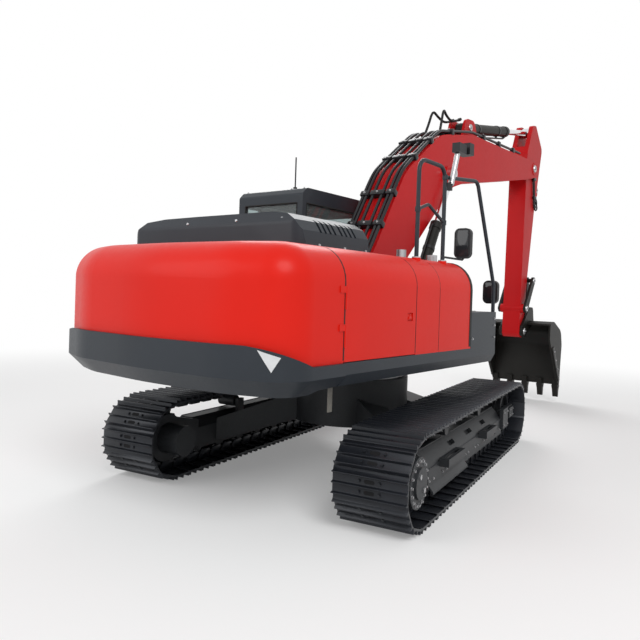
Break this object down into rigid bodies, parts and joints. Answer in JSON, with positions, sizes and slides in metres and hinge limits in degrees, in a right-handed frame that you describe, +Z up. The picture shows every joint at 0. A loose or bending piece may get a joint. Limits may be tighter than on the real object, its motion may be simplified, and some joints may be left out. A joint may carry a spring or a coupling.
{
  "type": "tracked hydraulic excavator",
  "caption": "Tracked hydraulic excavator: turning upper structure with cab, hood and counterweight, a curved boom, an arm and a toothed bucket on hydraulic cylinders.",
  "frame": {"origin": "on the swing axis at ground level", "axes": "+X forward along the boom, +Y to the machine's left, +Z up; the tracks stand turned 8.8 degrees to the left of +X"},
  "size_m": [8.6221, 3.626, 4.8612],
  "materials": {
    "red_paint": "gloss",
    "boom_paint": "gloss",
    "grey_paint": "satin",
    "frame_paint": "satin",
    "track_steel": "satin",
    "bucket_paint": "satin",
    "rod_chrome": "polished",
    "ring_steel": "satin",
    "engine_iron": "matte",
    "tinted_glass": "polished",
    "black_plastic": "matte",
    "black_rubber": "matte",
    "pipe_steel": "satin",
    "seat_cloth": "matte"
  },
  "bodies": {
    "undercarriage": {"track_left": "track_steel", "track_right": "track_steel", "side_frames": "frame_paint", "center_frame": "frame_paint", "sprockets": "track_steel", "idlers": "frame_paint", "bottom_rollers": "frame_paint", "carrier_rollers": "frame_paint", "final_drives": "frame_paint", "slew_ring_inner": "ring_steel"},
    "upper": {"slew_ring_outer": "ring_steel", "deck": "grey_paint", "counterweight": "red_paint", "counterweight_skirt": "grey_paint", "engine_block": "engine_iron", "body_covers": "red_paint", "hydraulic_tank": "red_paint", "fuel_tank": "red_paint", "tool_box": "grey_paint", "cab_shell": "grey_paint", "cab_glass": "tinted_glass", "cab_mounts": "black_rubber", "seat": "seat_cloth", "control_consoles": "black_plastic", "handrails": "grey_paint", "mirrors": "black_plastic", "work_lamp": "black_plastic", "antenna": "black_plastic", "filler_caps": "ring_steel"},
    "cab_door": {"cab_door": "grey_paint", "cab_door_glass": "tinted_glass"},
    "pump_door": {"pump_door": "red_paint"},
    "radiator_door": {"radiator_door": "red_paint"},
    "hood": {"hood": "grey_paint"},
    "tool_box_lid": {"tool_box_lid": "grey_paint"},
    "boom": {"boom": "boom_paint", "boom_pipes": "pipe_steel"},
    "boom_cylinder_barrels": {"boom_cylinder_barrels": "bucket_paint"},
    "boom_cylinder_rods": {"boom_cylinder_rods": "rod_chrome"},
    "arm": {"arm": "boom_paint"},
    "arm_cylinder_barrel": {"arm_cylinder_barrel": "bucket_paint"},
    "arm_cylinder_rod": {"arm_cylinder_rod": "rod_chrome"},
    "bucket_cylinder_barrel": {"bucket_cylinder_barrel": "bucket_paint"},
    "bucket_cylinder_rod": {"bucket_cylinder_rod": "rod_chrome"},
    "rocker_links": {"rocker_links": "bucket_paint"},
    "power_link": {"power_link": "bucket_paint"},
    "bucket": {"bucket": "bucket_paint"}
  },
  "joints": [
    {"name": "swing", "type": "hinge", "parent": "undercarriage", "child": "upper", "pos_m": [0, 0, 0.9], "axis": [0, 0, 1], "continuous": true},
    {"name": "boom_lift", "type": "hinge", "parent": "upper", "child": "boom", "pos_m": [-0.05, 0, 1.775], "axis": [0, -1, 0], "range_deg": [-45, 35]},
    {"name": "arm_swing", "type": "hinge", "parent": "boom", "child": "arm", "pos_m": [5.09, 0, 4.06], "axis": [0, 1, 0], "range_deg": [-50, 35]},
    {"name": "bucket_curl", "type": "hinge", "parent": "arm", "child": "bucket", "pos_m": [4.94, 0, 1.255], "axis": [0, -1, 0], "range_deg": [-120, 5]},
    {"name": "cab_door_hinge", "type": "hinge", "parent": "upper", "child": "cab_door", "pos_m": [-0.032, 1.352, 2], "axis": [0, 0, 1], "range_deg": [0, 110]},
    {"name": "pump_door_hinge", "type": "hinge", "parent": "upper", "child": "pump_door", "pos_m": [-1.99, -1.312, 1.6], "axis": [0, 0, -1], "range_deg": [0, 85]},
    {"name": "radiator_door_hinge", "type": "hinge", "parent": "upper", "child": "radiator_door", "pos_m": [-1.99, 1.312, 1.6], "axis": [0, 0, 1], "range_deg": [0, 85]},
    {"name": "hood_hinge", "type": "hinge", "parent": "upper", "child": "hood", "pos_m": [-1.074, 0.11, 2.161], "axis": [0, 1, 0], "range_deg": [0, 55]},
    {"name": "tool_box_lid_hinge", "type": "hinge", "parent": "upper", "child": "tool_box_lid", "pos_m": [0.244, -0.91, 1.631], "axis": [0, -1, 0], "range_deg": [0, 45]},
    {"name": "boom_cylinder_tilt", "type": "hinge", "parent": "upper", "child": "boom_cylinder_barrels", "pos_m": [0.63, 0, 1.405], "axis": [0, -1, 0], "range_deg": [-48.98, 38.32]},
    {"name": "boom_cylinder_stroke", "type": "slide", "parent": "boom_cylinder_barrels", "child": "boom_cylinder_rods", "axis": [0.4919, 0, 0.8706], "range_m": [-0.5738, 0.4474]},
    {"name": "arm_cylinder_tilt", "type": "hinge", "parent": "boom", "child": "arm_cylinder_barrel", "pos_m": [2.65, 0, 4.225], "axis": [0, -1, 0], "range_deg": [-3.57, 4.67]},
    {"name": "arm_cylinder_stroke", "type": "slide", "parent": "arm_cylinder_barrel", "child": "arm_cylinder_rod", "axis": [0.9811, 0, 0.1933], "range_m": [-0.5747, 0.4038]},
    {"name": "bucket_cylinder_tilt", "type": "hinge", "parent": "arm", "child": "bucket_cylinder_barrel", "pos_m": [5.6, 0, 3.775], "axis": [0, -1, 0], "range_deg": [-1.51, 13.29]},
    {"name": "bucket_cylinder_stroke", "type": "slide", "parent": "bucket_cylinder_barrel", "child": "bucket_cylinder_rod", "axis": [-0.2087, 0, -0.978], "range_m": [-0.042, 0.8928]},
    {"name": "rocker_turn", "type": "hinge", "parent": "arm", "child": "rocker_links", "pos_m": [4.92, 0, 1.645], "axis": [0, -1, 0], "range_deg": [-105.47, 5.35]},
    {"name": "power_link_turn", "type": "hinge", "parent": "rocker_links", "child": "power_link", "pos_m": [5.25, 0, 2.135], "axis": [0, -1, 0], "range_deg": [-3.84, 69.24]}
  ],
  "couplings": [
    {"joint": "boom_cylinder_tilt", "follows": "boom_lift", "ratio": 1.0662},
    {"joint": "boom_cylinder_stroke", "follows": "boom_lift", "m_per_rad": 0.7242},
    {"joint": "arm_cylinder_tilt", "follows": "arm_swing", "ratio": -0.0735},
    {"joint": "arm_cylinder_stroke", "follows": "arm_swing", "m_per_rad": 0.6528},
    {"joint": "bucket_cylinder_tilt", "follows": "bucket_curl", "ratio": -0.1024},
    {"joint": "bucket_cylinder_stroke", "follows": "bucket_curl", "m_per_rad": -0.4239},
    {"joint": "rocker_turn", "follows": "bucket_curl", "ratio": 0.8706},
    {"joint": "power_link_turn", "follows": "bucket_curl", "ratio": -0.5687}
  ]
}
